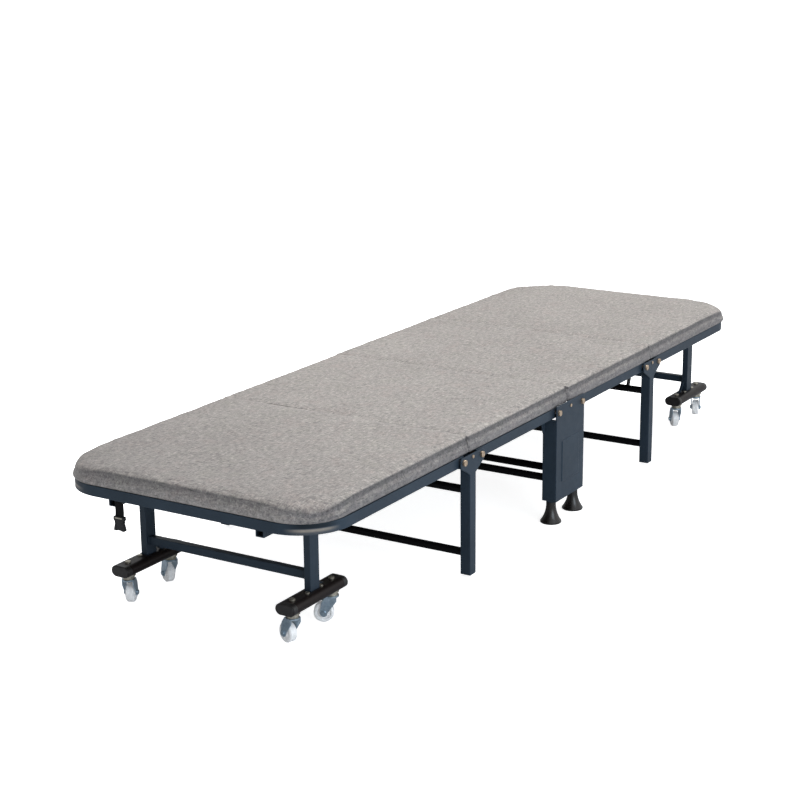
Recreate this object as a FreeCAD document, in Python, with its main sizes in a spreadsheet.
import FreeCAD, Part
import os
import Sketcher

# Four-fold rollaway bed, opened out flat.  Millimetres.
# X runs along the bed (near end at -X), Y across it (left at +Y), Z up,
# origin on the floor under the middle of the bed.

os.makedirs("parts", exist_ok=True)
doc = FreeCAD.newDocument("rollaway_bed")
V = FreeCAD.Vector

# Endings: _r radius, _t thickness, _w width, _half half a width,
# _in and _out distances from the middle plane Y = 0, _low, _top and _z heights.
SIZES = {
    # rail frame: outside half sizes and section
    "half_len": 950, "half_wid": 300, "rail": 20, "rail_wall": 1.5, "rail_z": 236, "corner_r": 100,
    # folding pivots: leg_pivot is counted from leg_x, the others from the origin
    "pivot_z": 246, "centre_pivot": 55, "leg_x": 425, "leg_pivot": 34.5,
    # hinge plates, bolts, nuts and rivets
    "plate_in": 304, "plate_out": 307, "bolt_r": 4, "run_gap": 0.05, "head_r": 6.2, "head_t": 4.2,
    "nut_in": 275, "nut_out": 279.5, "rivet_r": 2, "rivet_head_r": 3.4, "rivet_drop": 6,
    # centre covers
    "cover_half": 65, "cover_low": 50, "cover_top": 256, "cover_lip": 261,
    "flange_top": 232, "flange_in": 274, "flange_t": 3,
    "emboss_half": 39, "emboss_low": 90, "emboss_top": 180, "emboss_t": 1.4,
    # centre legs with horn-shaped feet, and centre crossbars
    "horn_x": 52, "horn_y": 289, "horn_base_r": 23, "horn_neck_r": 10.5, "horn_h": 46,
    "leg_tube_r": 10, "leg_tube_wall": 1.5, "leg_tube_top": 185,
    "bar_r": 8, "low_bar_x": 33, "low_bar_z": 91, "top_bar_x": 58, "top_bar_z": 215, "top_bar_r": 7,
    # boards and pads
    "board_z": 251, "board_t": 5, "board_half": 273, "board_gap": 3, "pad_t": 35, "pad_half": 300,
    "pad_corner_r": 80, "seam": 1.5, "pad_sweep": 54.5,
    # folding legs
    "leg_w": 22, "leg_wall": 1.6, "leg_low": 7, "leg_top": 250, "bar_low_z": 50, "bar_high_z": 180,
    # link bars: crank offsets from pivot to link pin, bar section, pins, gaps
    "crank_in": 16, "crank_out": 12, "crank_down": 9, "link_half": 4, "link_t": 4.5,
    "link_in": 268.2, "link_offset": 14, "link_pin_r": 3, "pin_head_r": 5, "open_gap": 0.08,
    # end legs; the planes of the two ends differ so that they nest when folded
    "end_leg_x": 813, "end_pivot_x": 827, "end_pivot_z": 236, "upright_x": 28, "upright_y": 14,
    "upright_low": 84, "upright_top": 231, "near_y": 190, "far_y": 234,
    "rung_low": 104, "rung_high": 120, "rung_half": 7, "brace_r": 28,
    # feet of the end legs
    "tee_half": 88, "tee_low": 62, "tee_h": 22, "tee_w": 42, "cap_len": 13, "cap_edge": 1.6,
    "screw_x": 22, "screw_y": 4.5, "screw_r": 2.5, "screw_depth": 8,
    # casters
    "stem_x": 63, "stem_r": 4, "wheel_r": 19, "wheel_half": 8, "hub_half": 9, "trail": 15,
    "axle_r": 3,
    # stringers under the outer sections; stringer_out is that of the near end
    "stringer": 18, "stringer_wall": 2, "stringer_out": 176, "stringer_end": 936,
    "stringer_start": 680, "lug_t": 4,
    # strap under the near end
    "strap_x": 941.5, "strap_y": 147, "strap_w": 20, "strap_t": 1.5, "strap_joint": 204,
    "buckle_t": 10,
    # resting headings of the eight caster trails, degrees about Z
    "turn_near_right_outer": 71, "turn_near_right_inner": 121,
    "turn_near_left_outer": 25, "turn_near_left_inner": 62,
    "turn_far_right_outer": 20, "turn_far_right_inner": 38,
    "turn_far_left_outer": 140, "turn_far_left_inner": 75,
}


class Size:
    """A number together with the expression over the sheet that gives it."""

    def __init__(self, value, text):
        self.value, self.text = float(value), text

    def __add__(self, other):
        other = size(other)
        return Size(self.value + other.value, "(%s + %s)" % (self.text, other.text))

    def __sub__(self, other):
        other = size(other)
        return Size(self.value - other.value, "(%s - %s)" % (self.text, other.text))

    def __mul__(self, other):
        other = size(other)
        return Size(self.value * other.value, "(%s * %s)" % (self.text, other.text))

    def __truediv__(self, other):
        other = size(other)
        return Size(self.value / other.value, "(%s / %s)" % (self.text, other.text))

    def __neg__(self):
        return Size(-self.value, "(0 - %s)" % self.text)

    __radd__ = __add__
    __rmul__ = __mul__

    def __rsub__(self, other):
        return size(other) - self


def size(x):
    if isinstance(x, Size):
        return x
    return Size(x, ("%.6f" % x) if x >= 0 else "(0 - %.6f)" % -x)


class Dimensions:
    """Every entry of SIZES as an attribute holding its Size."""


dim = Dimensions()
sheet = doc.addObject("Spreadsheet::Sheet", "dims")
for row, (alias, number) in enumerate(SIZES.items(), start=1):
    sheet.set("A%d" % row, alias)
    sheet.set("B%d" % row, str(number))
    sheet.setAlias("B%d" % row, alias)
    setattr(dim, alias, Size(number, "dims." + alias))
doc.recompute()


# ---------------------------------------------------------------- solids bound to the sheet
def ordered(a, b):
    a, b = size(a), size(b)
    return (b, a) if a.value > b.value else (a, b)


def bind(obj, prop, value):
    obj.setExpression(prop, size(value).text)


def place(obj, x, y, z):
    obj.Placement.Base = V(size(x).value, size(y).value, size(z).value)
    for axis, value in (("x", x), ("y", y), ("z", z)):
        bind(obj, "Placement.Base." + axis, value)


def box(x0, x1, y0, y1, z0, z1):
    """A box between two corners; each pair of ends may come in either order."""
    obj = doc.addObject("Part::Box", "box")
    corner = []
    for prop, a, b in (("Length", x0, x1), ("Width", y0, y1), ("Height", z0, z1)):
        low, high = ordered(a, b)
        corner.append(low)
        setattr(obj, prop, (high - low).value)
        bind(obj, prop, high - low)
    place(obj, *corner)
    return obj


def rod(axis, radius, start, stop, across, up):
    """A cylinder along an axis, centred at the other two coordinates, given in X, Y, Z order."""
    low, high = ordered(start, stop)
    obj = doc.addObject("Part::Cylinder", "rod")
    obj.Radius = size(radius).value
    bind(obj, "Radius", radius)
    obj.Height = (high - low).value
    bind(obj, "Height", high - low)
    if axis == "X":
        obj.Placement.Rotation = FreeCAD.Rotation(V(0, 1, 0), 90)
        place(obj, low, across, up)
    elif axis == "Y":
        obj.Placement.Rotation = FreeCAD.Rotation(V(1, 0, 0), -90)
        place(obj, across, low, up)
    else:
        place(obj, across, up, low)
    return obj


def pair(kind, base, tool):
    obj = doc.addObject(kind, "op")
    obj.Base, obj.Tool = base, tool
    obj.Refine = True
    return obj


def fuse(first, *others):
    for other in others:
        first = pair("Part::Fuse", first, other)
    return first


def cut(body, *tools):
    for tool in tools:
        body = pair("Part::Cut", body, tool)
    return body


def common(a, b):
    return pair("Part::Common", a, b)


def bunch(*objs):
    """Parts that touch along their faces but stay solids of their own."""
    obj = doc.addObject("Part::Compound", "bunch")
    obj.Links = list(objs)
    return obj


def outline(sketch, points):
    """A closed chain through points (u, v).

    A point (u, v, mid_u, mid_v) starts an arc through (mid_u, mid_v) to the next point.
    """
    count = len(points)
    corners = [V(size(p[0]).value, size(p[1]).value, 0) for p in points]
    ends = []
    for i, point in enumerate(points):
        a, b = corners[i], corners[(i + 1) % count]
        ends.append((1, 2))
        if len(point) == 4:
            # arcs are always drawn anticlockwise, so a clockwise one starts at its far end
            mid = V(size(point[2]).value, size(point[3]).value, 0)
            if (mid - a).cross(b - a).z > 0:
                sketch.addGeometry(Part.Arc(a, mid, b))
            else:
                sketch.addGeometry(Part.Arc(b, mid, a))
                ends[i] = (2, 1)
        else:
            sketch.addGeometry(Part.LineSegment(a, b))
    for i in range(count):
        j = (i + 1) % count
        sketch.addConstraint(Sketcher.Constraint("Coincident", i, ends[i][1], j, ends[j][0]))
    for i, point in enumerate(points):
        start = ends[i][0]
        for kind, axis, value in (("DistanceX", -2, size(point[0])),
                                  ("DistanceY", -1, size(point[1]))):
            if abs(value.value) < 1e-9:
                sketch.addConstraint(Sketcher.Constraint("PointOnObject", i, start, axis))
            else:
                k = sketch.addConstraint(
                    Sketcher.Constraint(kind, -1, 1, i, start, value.value))
                sketch.setExpression("Constraints[%d]" % k, value.text)
        if len(point) == 4:
            # with both ends fixed the centre only slides along the chord's bisector,
            # so one coordinate holds it
            chord = corners[(i + 1) % count] - corners[i]
            centre = sketch.Geometry[i].Center
            if abs(chord.y) >= abs(chord.x):
                sketch.addConstraint(Sketcher.Constraint("DistanceX", -1, 1, i, 3, centre.x))
            else:
                sketch.addConstraint(Sketcher.Constraint("DistanceY", -1, 1, i, 3, centre.y))


def sketched_body(role, points):
    body = doc.addObject("PartDesign::Body", "body")
    sketch = body.newObject("Sketcher::SketchObject", "sketch")
    plane = [f for f in body.Origin.OriginFeatures if f.Role == role][0]
    sketch.AttachmentSupport = [(plane, "")]
    sketch.MapMode = "FlatFace"
    outline(sketch, points)
    return body, sketch


def prism(role, points, start, stop):
    """A pad of an outline along the normal of its plane, from start to stop."""
    low, high = ordered(start, stop)
    body, sketch = sketched_body(role, points)
    pad = body.newObject("PartDesign::Pad", "pad")
    pad.Profile = sketch
    pad.Length = (high - low).value
    bind(pad, "Length", high - low)
    pad.Midplane = True
    middle = (low + high) / 2
    place(body, *[middle if role == r else 0 for r in ("YZ_Plane", "XZ_Plane", "XY_Plane")])
    return body


def revolved(role, axis, points):
    """A full turn of an outline about the H_Axis or V_Axis of its sketch."""
    body, sketch = sketched_body(role, points)
    turn = body.newObject("PartDesign::Revolution", "revolution")
    turn.Profile = sketch
    turn.ReferenceAxis = (sketch, [axis])
    turn.Angle = 360
    return body


# The side_ helpers take the sign of Y first, and Y places as distances from the middle plane.
def side_box(side, x0, x1, start, stop, z0, z1):
    return box(x0, x1, side * start, side * stop, z0, z1)


def side_rod(side, radius, start, stop, x, z):
    return rod("Y", radius, side * start, side * stop, x, z)


def side_prism(side, points, start, stop):
    return prism("XZ_Plane", points, side * start, side * stop)


def drill(obj, side, radius, start, stop, *spots):
    """Holes along Y through one side of a part; spots are (x, z)."""
    return cut(obj, *[side_rod(side, radius, start, stop, x, z) for x, z in spots])


def tube(along, wall, *spans):
    """A rectangular tube along X or Y, open at both ends; spans are those of box."""
    overshoot = 5
    bore = []
    for i, axis in enumerate("XYZ"):
        low, high = ordered(*spans[2 * i:2 * i + 2])
        grow = size(overshoot) if axis == along else -size(wall)
        bore += [low - grow, high + grow]
    return cut(box(*spans), box(*bore))


nodes = {}


def node(label, obj):
    obj.Label = label
    nodes[label] = obj


# ---------------------------------------------------------------- shared sizes
BOTH = (-1, 1)
ENDS = {"near": -1, "far": 1}        # sign of X
SIDES = {"right": -1, "left": 1}     # sign of Y
END_Y = {"near": dim.near_y, "far": dim.far_y}
STRINGER_Y = {"near": dim.stringer_out, "far": dim.stringer_out + (dim.far_y - dim.near_y)}

rail_in = dim.half_wid - dim.rail
rail_top = dim.rail_z + dim.rail
rail_stub = dim.rail / 2             # length of rail beyond its pivot
inner_pivot, outer_pivot = dim.leg_x - dim.leg_pivot, dim.leg_x + dim.leg_pivot
hole_r = dim.bolt_r + dim.run_gap
link_z = dim.pivot_z - dim.crank_down
end_link_z = dim.end_pivot_z - dim.crank_down
rivet_z = dim.cover_top - dim.rivet_drop
board_top = dim.board_z + dim.board_t
pad_top = board_top + dim.pad_t
tee_r = dim.tee_h / 2
tee_top = dim.tee_low + dim.tee_h
tee_arm = dim.tee_half - dim.cap_len

# ends of drilling along Y, clear of what is drilled
PLATE_DRILL = (302, 309)
RAIL_DRILL = (278, 302)
LEG_RIVET_DRILL = (303.9, 309)       # through the plate only

# link pins of the inner links: end of the shank and middle of the head, from the middle plane
INNER_PIN_TIP, INNER_HEAD_MID = 267, 266.5


def bolt(x, side):
    """Pivot bolt with its nut, through a plate and a rail."""
    out, z = dim.plate_out, dim.pivot_z
    return fuse(
        side_rod(side, dim.bolt_r, dim.nut_in, out + 0.5, x, z),
        side_rod(side, dim.head_r, out, out + dim.head_t, x, z),
        side_rod(side, dim.head_r, dim.nut_in, dim.nut_out, x, z))


def rivet(x, side):
    out = dim.plate_out
    return fuse(
        side_rod(side, dim.rivet_r, dim.plate_in, out + 1, x, rivet_z),
        side_rod(side, dim.rivet_head_r, out, out + 1.6, x, rivet_z))


def link_pin(side, root, tip, head_mid, x, z):
    """Shank and 2 mm head of a link pin, as two rods."""
    return [side_rod(side, dim.link_pin_r, root, tip, x, z),
            side_rod(side, dim.pin_head_r, head_mid - 1, head_mid + 1, x, z)]


# ---------------------------------------------------------------- centre frame
def cover(side):
    """Flanged cover beside the middle joint, with a raised panel, two ears and two link pins."""
    half, inset = dim.cover_half, dim.cover_half - dim.flange_t
    flange_in, out = dim.flange_in, dim.plate_out
    shell = side_box(side, -half, half, dim.plate_in, out, dim.cover_low, dim.cover_lip)
    for sign in BOTH:
        shell = fuse(shell, side_box(side, sign * inset, sign * half, flange_in, out,
                                     dim.cover_low, dim.flange_top))
    shell = fuse(shell, side_box(side, -dim.emboss_half, dim.emboss_half,
                                 out - 1, out + dim.emboss_t, dim.emboss_low, dim.emboss_top))
    for sign in BOTH:
        pin_x = sign * (dim.centre_pivot + dim.crank_in)
        ear = side_prism(side, [
            (sign * inset, 198), (sign * inset, dim.flange_top),
            (sign * (half - 0.5), link_z + 6), (pin_x + sign * 7, link_z + 6),
            (pin_x + sign * 7, link_z - 6), (sign * (half + 3), 202),
        ], flange_in, flange_in + dim.flange_t)
        pin = link_pin(side, flange_in + 1, INNER_PIN_TIP, INNER_HEAD_MID, pin_x, link_z)
        shell = fuse(shell, ear, fuse(*pin))
    shell = drill(shell, side, dim.bolt_r, *PLATE_DRILL,
                  *[(sign * dim.centre_pivot, dim.pivot_z) for sign in BOTH])
    return drill(shell, side, dim.rivet_r, *PLATE_DRILL, (0, rivet_z))


def centre_crossbars():
    bars = []
    for radius, reach, x, z in (
            (dim.bar_r, dim.plate_in, dim.low_bar_x, dim.low_bar_z),
            (dim.top_bar_r, dim.flange_in, dim.top_bar_x, dim.top_bar_z)):
        bars += [rod("Y", radius, -reach, reach, sign * x, z) for sign in BOTH]
    return fuse(*bars)


def centre_leg_tube(x, y):
    radius, low, top = dim.leg_tube_r, dim.horn_h, dim.leg_tube_top
    return cut(rod("Z", radius, low, top, x, y),
               rod("Z", radius - dim.leg_tube_wall, low - 1, top + 1, x, y))


def horn_foot(x, y):
    """Flared foot; the outline is radius and height."""
    base, neck, height = dim.horn_base_r, dim.horn_neck_r, dim.horn_h
    foot = revolved("XZ_Plane", "V_Axis", [
        (0, 0), (base - 1, 0), (base, 1),
        (base, 3.5, (base + neck) / 2 - 2.6, height / 2 - 3.4),
        (neck, height - 4), (neck, height), (0, height)])
    place(foot, x, y, 0)
    return foot


def centre_pivot_bolts():
    group = []
    for side in BOTH:
        group += [bolt(sign * dim.centre_pivot, side) for sign in BOTH] + [rivet(0, side)]
    return fuse(*group)


for side_name, side in SIDES.items():
    node("cover_" + side_name, cover(side))
node("centre_crossbars", centre_crossbars())
foot_spots = [(sign * dim.horn_x, side * dim.horn_y) for sign in BOTH for side in BOTH]
node("centre_leg_tubes", fuse(*[centre_leg_tube(x, y) for x, y in foot_spots]))
node("horn_feet", fuse(*[horn_foot(x, y) for x, y in foot_spots]))
node("centre_pivot_bolts", centre_pivot_bolts())


# ---------------------------------------------------------------- inner sections
CROSS_TUBE_X = (112, 235, 362)
CROSS_TUBE_HALF, CROSS_TUBE_H, CROSS_TUBE_WALL = 7, 7.5, 1.2


def inner_rails(sign):
    rails = []
    for side in BOTH:
        rail = tube("X", dim.rail_wall,
                    sign * (dim.centre_pivot - rail_stub), sign * (inner_pivot + rail_stub),
                    side * rail_in, side * dim.half_wid, dim.rail_z, rail_top)
        rails.append(drill(rail, side, hole_r, *RAIL_DRILL,
                           (sign * dim.centre_pivot, dim.pivot_z),
                           (sign * inner_pivot, dim.pivot_z)))
    return fuse(*rails)


def inner_cross_tubes(sign):
    return fuse(*[
        tube("Y", CROSS_TUBE_WALL, sign * x - CROSS_TUBE_HALF, sign * x + CROSS_TUBE_HALF,
             -rail_in, rail_in, dim.board_z - CROSS_TUBE_H, dim.board_z)
        for x in CROSS_TUBE_X])


def inner_board(sign):
    return box(sign * dim.board_gap, sign * (dim.leg_x - dim.seam),
               -dim.board_half, dim.board_half, dim.board_z, board_top)


def inner_pad(sign):
    """Flat pad with a lip towards the middle, rounded about the centre pivot."""
    pivot, half = dim.centre_pivot, dim.pad_half
    main = box(sign * pivot, sign * (dim.leg_x - dim.seam), -half, half, board_top, pad_top)
    lip = common(
        box(0, sign * (pivot + 5), -half, half, board_top, pad_top),
        rod("Y", dim.pad_sweep, -half - 1, half + 1, sign * pivot, dim.pivot_z))
    return fuse(main, lip)


for end, sign in ENDS.items():
    node(end + "_inner_rails", inner_rails(sign))
    node(end + "_inner_cross_tubes", inner_cross_tubes(sign))
    node(end + "_inner_board", inner_board(sign))
    node(end + "_inner_pad", inner_pad(sign))


# ---------------------------------------------------------------- outer sections
OUTER_TUBES = ((700, 0), (868, 6))   # x, amount each end stops short of the rails
OUTER_TUBE_HALF, OUTER_TUBE_WALL = 10, 1.5
CROSS_ROD_X, CROSS_ROD_R = 520, 4.9


def outer_rail(sign):
    """One U: the end bar, two quarter bends and two bored arms."""
    radius, tip, wid = dim.corner_r, dim.half_len, dim.half_wid
    low, top = dim.rail_z, rail_top
    bend_x, bend_y = sign * (tip - radius), wid - radius
    bent = box(sign * (tip - dim.rail), sign * tip, -bend_y, bend_y, low, top)
    for side in BOTH:
        arm = tube("X", dim.rail_wall, sign * (outer_pivot - rail_stub), bend_x,
                   side * rail_in, side * wid, low, top)
        ring = cut(
            rod("Z", radius, low, top, bend_x, side * bend_y),
            rod("Z", radius - dim.rail, low - 1, top + 1, bend_x, side * bend_y))
        quarter = side_box(side, bend_x, sign * (tip + 1), bend_y, wid + 1, low, top)
        bent = fuse(bent, common(ring, quarter), arm)
    for side in BOTH:
        bent = drill(bent, side, hole_r, *RAIL_DRILL, (sign * outer_pivot, dim.pivot_z))
    return bent


def stringer(sign, side, out):
    """Bored beam along X with a lug that carries the end-leg pivot."""
    x, z = sign * dim.end_pivot_x, dim.end_pivot_z
    lug_in = out - dim.lug_t
    beam = tube("X", dim.stringer_wall, sign * dim.stringer_start, sign * dim.stringer_end,
                side * (out - dim.stringer), side * out, dim.rail_z - dim.stringer, dim.rail_z)
    lug = fuse(side_box(side, x - 12, x + 12, lug_in, out, dim.rail_z - 6, z + 4),
               side_rod(side, 11, lug_in, out, x, z))
    return cut(fuse(beam, lug),
               side_rod(side, hole_r, out - 9, out + 2, x, z),
               side_rod(side, 8.2, out - 12, lug_in, x, z))  # room for the bolt head


def outer_under_frame(end, sign):
    frame = []
    for x, short in OUTER_TUBES:
        reach = rail_in - short
        frame.append(tube("Y", OUTER_TUBE_WALL,
                          sign * x - OUTER_TUBE_HALF, sign * x + OUTER_TUBE_HALF,
                          -reach, reach, dim.rail_z, dim.board_z))
    frame.append(rod("Y", CROSS_ROD_R, -rail_in, rail_in,
                     sign * CROSS_ROD_X, dim.board_z - CROSS_ROD_R))
    frame += [stringer(sign, side, STRINGER_Y[end]) for side in BOTH]
    return bunch(*frame)


def rounded_slab(sign, half, tip, radius, low, top):
    """Slab from the leg seam to tip, its two corners at the tip rounded."""
    inset = radius * 0.29289322      # 1 - cos 45: the middle of a corner arc
    x_in, x_out = sign * (dim.leg_x + dim.seam), sign * tip
    x_arc, x_mid = x_out - sign * radius, x_out - sign * inset
    return prism("XY_Plane", [
        (x_in, -half), (x_arc, -half, x_mid, -half + inset), (x_out, -half + radius),
        (x_out, half - radius, x_mid, half - inset), (x_arc, half), (x_in, half)], low, top)


for end, sign in ENDS.items():
    node(end + "_outer_rail", outer_rail(sign))
    node(end + "_outer_under_frame", outer_under_frame(end, sign))
    node(end + "_outer_board", rounded_slab(
        sign, dim.board_half, dim.half_len - dim.rail - 3, dim.corner_r - dim.rail - 4,
        dim.board_z, board_top))
    node(end + "_outer_pad", rounded_slab(
        sign, dim.pad_half, dim.half_len, dim.pad_corner_r, board_top, pad_top))


# ---------------------------------------------------------------- strap under the near end
def strap_webbing():
    x, y = -dim.strap_x, dim.strap_y
    return box(x - dim.strap_t / 2, x + dim.strap_t / 2, y - dim.strap_w / 2,
               y + dim.strap_w / 2, dim.strap_joint, 235.6)


def strap_buckle():
    """Buckle with a notch between two prongs at its lower end."""
    x, y, half = -dim.strap_x, dim.strap_y, dim.strap_w / 2
    # distance from the strap's centre line, height; from the top down to the notch
    profile = [(half + 2, dim.strap_joint), (half + 2, 198), (half - 1.5, 194),
               (half + 1, 177), (7, 176), (5, 180)]
    points = [(y - across, z) for across, z in profile]
    points += [(y + across, z) for across, z in reversed(profile)]
    return prism("YZ_Plane", points, x - dim.buckle_t / 2, x + dim.buckle_t / 2)


node("strap_webbing", strap_webbing())
node("strap_buckle", strap_buckle())


# ---------------------------------------------------------------- folding leg frames
leg_in = dim.plate_out - dim.leg_w


def folding_leg(sign, side):
    """Leg tube open at the foot, with its hinge plate and the tab and pin of the inner link."""
    x, half, reach = sign * dim.leg_x, dim.leg_w / 2, dim.leg_pivot
    wall, out = dim.leg_wall, dim.plate_out
    leg = cut(
        side_box(side, x - half, x + half, leg_in, out, dim.leg_low, dim.leg_top),
        side_box(side, x - half + wall, x + half - wall, leg_in + wall, out - wall,
                 dim.leg_low - 5, dim.leg_top - 12))
    plate = side_prism(side, [
        (x - half, 216), (x - reach - 11, 236), (x - reach - 11, 251.5), (x - reach - 7, 256),
        (x + reach + 7, 256), (x + reach + 11, 251.5), (x + reach + 11, 236), (x + half, 216),
    ], dim.plate_in, out)
    pin_x = sign * (inner_pivot + dim.crank_in)
    tab_in, tab_out = dim.nut_in + 0.5, 279
    block = side_box(side, x - half, x + half, tab_in, leg_in + 1, link_z - 14, link_z + 8)
    tab = fuse(side_box(side, x, pin_x, tab_in, tab_out, link_z - 6, link_z + 6),
               side_rod(side, 6, tab_in, tab_out, pin_x, link_z))
    pin = fuse(*link_pin(side, 277, INNER_PIN_TIP, INNER_HEAD_MID, pin_x, link_z))
    leg = fuse(leg, plate, block, tab, pin)
    leg = drill(leg, side, dim.bolt_r, *PLATE_DRILL,
                (x - reach, dim.pivot_z), (x + reach, dim.pivot_z))
    return drill(leg, side, dim.rivet_r, *LEG_RIVET_DRILL, (x, rivet_z))


def leg_bolts(sign):
    x, reach = sign * dim.leg_x, dim.leg_pivot
    group = []
    for side in BOTH:
        group += [bolt(x - reach, side), bolt(x + reach, side), rivet(x, side)]
    return fuse(*group)


def leg_crossbars(end, sign):
    """Two bars between the legs; the upper one carries an arm and pin for each outer link."""
    x, bar_z = sign * dim.leg_x, dim.bar_high_z
    low_bar = rod("Y", dim.bar_r, -leg_in, leg_in, x, dim.bar_low_z)
    high_bar = rod("Y", dim.bar_r, -leg_in, leg_in, x, bar_z)
    pin_x = sign * (outer_pivot - dim.crank_out)
    arm_in = END_Y[end] + 9.5
    for side in BOTH:
        arm = side_prism(side, [
            (x - sign * 6, bar_z), (x + sign * 6, bar_z),
            (pin_x + sign * 6, link_z - 4), (pin_x + sign * 6, link_z + 4),
            (pin_x + sign * 3, link_z + 6), (pin_x - sign * 3, link_z + 6),
            (pin_x - sign * 6, link_z + 3)], arm_in, arm_in + 4)
        pin = link_pin(side, arm_in + 3, arm_in + 10.5, arm_in + 10.5, pin_x, link_z)
        high_bar = fuse(high_bar, arm, fuse(*pin))
    return fuse(low_bar, high_bar)


for end, sign in ENDS.items():
    node(end + "_legs", fuse(*[folding_leg(sign, side) for side in BOTH]))
    node(end + "_leg_bolts", leg_bolts(sign))
    node(end + "_leg_crossbars", leg_crossbars(end, sign))


# ---------------------------------------------------------------- end legs
def end_post(end, sign, side):
    """The parts of one upright: post, cheek, pivot, link pin and curved brace."""
    x, y = sign * dim.end_leg_x, END_Y[end]
    half_x, half_y = dim.upright_x / 2, dim.upright_y / 2
    low, top = dim.upright_low, dim.upright_top
    post_in, out = y - half_y, STRINGER_Y[end]
    pivot_x, pivot_z = sign * dim.end_pivot_x, dim.end_pivot_z

    post = side_box(side, x - half_x, x + half_x, post_in, y + half_y, low, top)
    cheek = fuse(
        side_box(side, x - half_x, x + half_x, post_in - 4, post_in, top - 18, top),
        side_rod(side, 9, post_in - 4, post_in + 1, pivot_x, pivot_z),
        side_prism(side, [
            (x + sign * half_x, top - 18), (pivot_x + sign * 8.6, pivot_z - 2.5),
            (pivot_x, pivot_z), (x - sign * half_x, top), (x - sign * half_x, top - 18),
        ], post_in - 4, post_in))
    pivot = fuse(side_rod(side, dim.bolt_r, out - 6, post_in, pivot_x, pivot_z),
                 side_rod(side, 7, out - 8, out - 4.4, pivot_x, pivot_z))
    pin_x = sign * (dim.end_pivot_x - dim.crank_out)
    pin = fuse(side_rod(side, 6, y + half_y - 1, y + 13.5, pin_x, end_link_z),
               *link_pin(side, y + 13, y + 20, y + 20, pin_x, end_link_z))

    # brace at the foot of the post, on the face towards the middle of the bed
    radius, brace_y, face_x = dim.brace_r, y - 6, x - sign * half_x
    centre_x, centre_z = face_x - sign * radius, low + radius
    ring = cut(
        side_rod(side, radius + 3, brace_y - 3.5, brace_y + 3.5, centre_x, centre_z),
        side_rod(side, radius, brace_y - 5, brace_y + 5, centre_x, centre_z))
    brace = common(ring, side_box(side, face_x, centre_x, brace_y - 4, brace_y + 4,
                                  low, centre_z))
    return post, cheek, pivot, pin, brace


def end_frame(end, sign):
    """Two uprights joined by a rung with a shallow channel in its underside."""
    x, half, reach = sign * dim.end_leg_x, dim.rung_half, END_Y[end] - dim.upright_y / 2
    low = dim.rung_low
    frame = cut(
        box(x - half, x + half, -reach, reach, low, dim.rung_high),
        box(x - half + 2, x + half - 2, -reach + 2, reach - 2, low - 3, low + 2))
    for side in BOTH:
        frame = fuse(frame, *end_post(end, sign, side))
    return frame


def tee_section(y, radius):
    """Flat-sided oval across the foot; radius is that of its round ends."""
    flat, z = dim.tee_w / 2 - tee_r, dim.tee_low + tee_r
    return [(y - flat, z - radius), (y + flat, z - radius, y + flat + radius, z),
            (y + flat, z + radius), (y - flat, z + radius, y - flat - radius, z)]


def screw_spot(x, y, side, half):
    return x + half * dim.screw_x, y + side * dim.screw_y


def t_bar(x, y, side):
    bar = prism("YZ_Plane", tee_section(y, tee_r), x - tee_arm, x + tee_arm)
    for half in BOTH:
        bar = cut(
            bar,
            rod("Z", dim.stem_r, dim.tee_low - 2, tee_top + 2, x + half * dim.stem_x, y),
            rod("Z", dim.screw_r, tee_top - dim.screw_depth, tee_top + 2,
                *screw_spot(x, y, side, half)))
    return bar


def t_cap(x, y, half):
    """End cap with a stepped edge round its outer face."""
    start, stop, edge = x + half * tee_arm, x + half * dim.tee_half, dim.cap_edge
    return fuse(
        prism("YZ_Plane", tee_section(y, tee_r), start, stop - half * edge),
        prism("YZ_Plane", tee_section(y, tee_r - edge), stop - half * (edge + 0.5), stop))


def t_screw(x, y, side, half):
    spot = screw_spot(x, y, side, half)
    return fuse(rod("Z", dim.screw_r, tee_top - dim.screw_depth, tee_top + 1, *spot),
                rod("Z", 4.4, tee_top, tee_top + 2.4, *spot))


def caster_stem(x, y):
    """Stem through the foot, its head on top and three collars below."""
    low = dim.tee_low
    return fuse(*[rod("Z", radius, start, stop, x, y) for radius, start, stop in (
        (dim.stem_r, 48, tee_top + 1), (5.5, tee_top, tee_top + 3.2),
        (14, low - 3, low), (11.5, 52.4, low - 2), (6.5, 45.6, 48.6))])


for end, sign in ENDS.items():
    x, y = sign * dim.end_leg_x, END_Y[end]
    halves = [(side, half) for side in BOTH for half in BOTH]
    node(end + "_end_frame", end_frame(end, sign))
    node(end + "_t_bars", fuse(*[t_bar(x, side * y, side) for side in BOTH]))
    node(end + "_t_caps", fuse(*[t_cap(x, side * y, half) for side, half in halves]))
    node(end + "_t_screws", fuse(*[t_screw(x, side * y, side, half) for side, half in halves]))
    node(end + "_caster_stems", fuse(*[
        caster_stem(x + half * dim.stem_x, side * y) for side, half in halves]))


# ---------------------------------------------------------------- link bars
def link(side, start, x0, z0, x1, z1):
    """Flat bar with an eye at each end; the hole at x1 has the wider gap."""
    half, stop = dim.link_half, start + dim.link_t
    bar = side_prism(side, [(x0, z0 - half), (x1, z1 - half), (x1, z1 + half), (x0, z0 + half)],
                     start, stop)
    bar = fuse(bar, *[side_rod(side, half + 1.5, start, stop, x, z)
                      for x, z in ((x0, z0), (x1, z1))])
    bar = drill(bar, side, dim.link_pin_r + dim.run_gap, start - 9, stop + 9, (x0, z0))
    return drill(bar, side, dim.link_pin_r + dim.open_gap, start - 9, stop + 9, (x1, z1))


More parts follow.
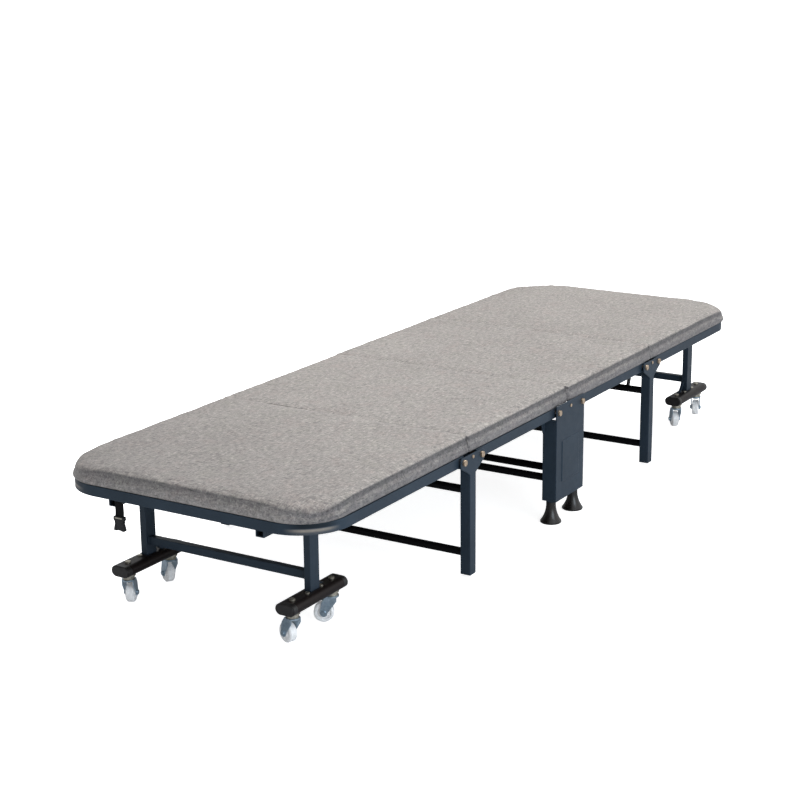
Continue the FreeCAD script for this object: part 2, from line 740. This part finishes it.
for end, sign in ENDS.items():
    node(end + "_inner_links", fuse(*[
        link(side, dim.link_in, sign * (dim.centre_pivot + dim.crank_in), link_z,
             sign * (inner_pivot + dim.crank_in), link_z) for side in BOTH]))
    node(end + "_outer_links", fuse(*[
        link(side, END_Y[end] + dim.link_offset, sign * (outer_pivot - dim.crank_out), link_z,
             sign * (dim.end_pivot_x - dim.crank_out), end_link_z) for side in BOTH]))


# ---------------------------------------------------------------- casters
def caster_fork():
    """Crown, two arms and the axle, with the trail along +X and the stem at the origin."""
    x, z, hub = dim.trail, dim.wheel_r, dim.hub_half
    crown = cut(rod("Z", 13.5, 49, 52, 0, 0),
                rod("Z", dim.stem_r + dim.run_gap, 45, 55, 0, 0))
    arms = [side_prism(side, [
        (-9, 52), (10, 52), (19, 40), (x + 7.5, z + 1), (x + 5.5, z - 5), (x, z - 7.5),
        (x - 5.5, z - 5), (x - 7.5, z + 1), (-9, 42)], hub + 0.5, hub + 2.5) for side in BOTH]
    axle = fuse(rod("Y", dim.axle_r, -(hub + 3.5), hub + 3.5, x, z),
                *[side_rod(side, 4.6, hub + 2.5, hub + 5, x, z) for side in (1, -1)])
    return fuse(crown, *arms, axle)


def caster_wheel():
    """Wheel about the Y axis, recessed between hub and rim; the outline is Y and radius."""
    rim, half, hub = dim.wheel_r, dim.wheel_half, dim.hub_half
    bore = dim.axle_r + dim.run_gap
    return revolved("YZ_Plane", "H_Axis", [
        (-hub, bore), (hub, bore), (hub, 7), (half - 2.5, 8), (half - 2.5, 12.5), (half, 13.5),
        (half, rim - 2.5), (half - 2, rim), (-half + 2, rim), (-half, rim - 2.5), (-half, 13.5),
        (-half + 2.5, 12.5), (-half + 2.5, 8), (-hub, 7)])


def turn_about_z(obj, angle):
    obj.Placement.Rotation = FreeCAD.Rotation(V(0, 0, 1), angle.value)
    bind(obj, "Placement.Rotation.Angle", angle)


def caster(name, x, y):
    """Fork and wheel below the stem at x, y, turned to their heading."""
    turn = getattr(dim, "turn_" + name)
    heading = FreeCAD.Rotation(V(0, 0, 1), turn.value).multVec(V(1, 0, 0))
    fork, wheel = caster_fork(), caster_wheel()
    turn_about_z(fork, turn)
    place(fork, x, y, 0)
    turn_about_z(wheel, turn)
    place(wheel,
          x + dim.trail * Size(heading.x, "cos(%s * 1 deg)" % turn.text),
          y + dim.trail * Size(heading.y, "sin(%s * 1 deg)" % turn.text),
          dim.wheel_r)
    node("fork_" + name, fork)
    node("wheel_" + name, wheel)


for end, sign in ENDS.items():
    for side_name, side in SIDES.items():
        for spot, half in (("outer", 1), ("inner", -1)):
            caster("%s_%s_%s" % (end, side_name, spot),
                   sign * (dim.end_leg_x + half * dim.stem_x), side * END_Y[end])

# ---------------------------------------------------------------- check and export
doc.recompute()

bad = [obj.Name + " " + obj.Label for obj in doc.Objects
       if any(flag in ("Invalid", "Error") for flag in obj.State)]
for label, obj in nodes.items():
    shape = obj.Shape
    if shape.isNull() or not shape.isValid() or not shape.Solids:
        bad.append(label)
if bad:
    raise RuntimeError("objects that did not build: " + ", ".join(bad))
for label, obj in nodes.items():
    obj.Shape.exportStep("parts/" + label + ".step")
